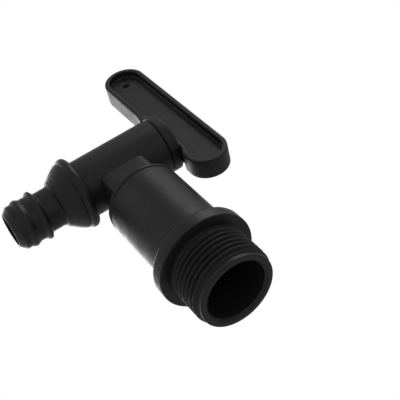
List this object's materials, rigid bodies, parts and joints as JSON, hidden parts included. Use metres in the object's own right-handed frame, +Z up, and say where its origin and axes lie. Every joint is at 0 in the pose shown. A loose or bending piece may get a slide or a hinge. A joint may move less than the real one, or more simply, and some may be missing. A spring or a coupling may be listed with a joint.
{
  "type": "ibc tank tap",
  "caption": "Black plastic quarter-turn outlet tap with flanged parallel inlet thread, T-handle lever and a ribbed hose tail pointing down.",
  "frame": {"origin": "centre of the flange's sealing face, on the inlet thread's axis", "axes": "+Y out along the inlet thread, +Z up the spindle to the T-handle, hose tail pointing -Z"},
  "size_m": [0.0324, 0.1157, 0.0741],
  "materials": {
    "body": "satin moulded",
    "handle": "satin moulded",
    "spout": "satin moulded",
    "rubber_seals": "smooth rubber",
    "clip": "smooth"
  },
  "bodies": {
    "body": {"body": "body", "spout": "spout", "port_seal": "rubber_seals", "spout_gasket": "rubber_seals"},
    "handle": {"handle": "handle", "upper_seal": "rubber_seals", "lower_seal": "rubber_seals", "retaining_clip": "clip"}
  },
  "joints": [
    {"name": "handle_turn", "type": "hinge", "parent": "body", "child": "handle", "pos_m": [0, -0.0555, 0], "axis": [0, 0, 1], "range_deg": [-90, 0]}
  ]
}
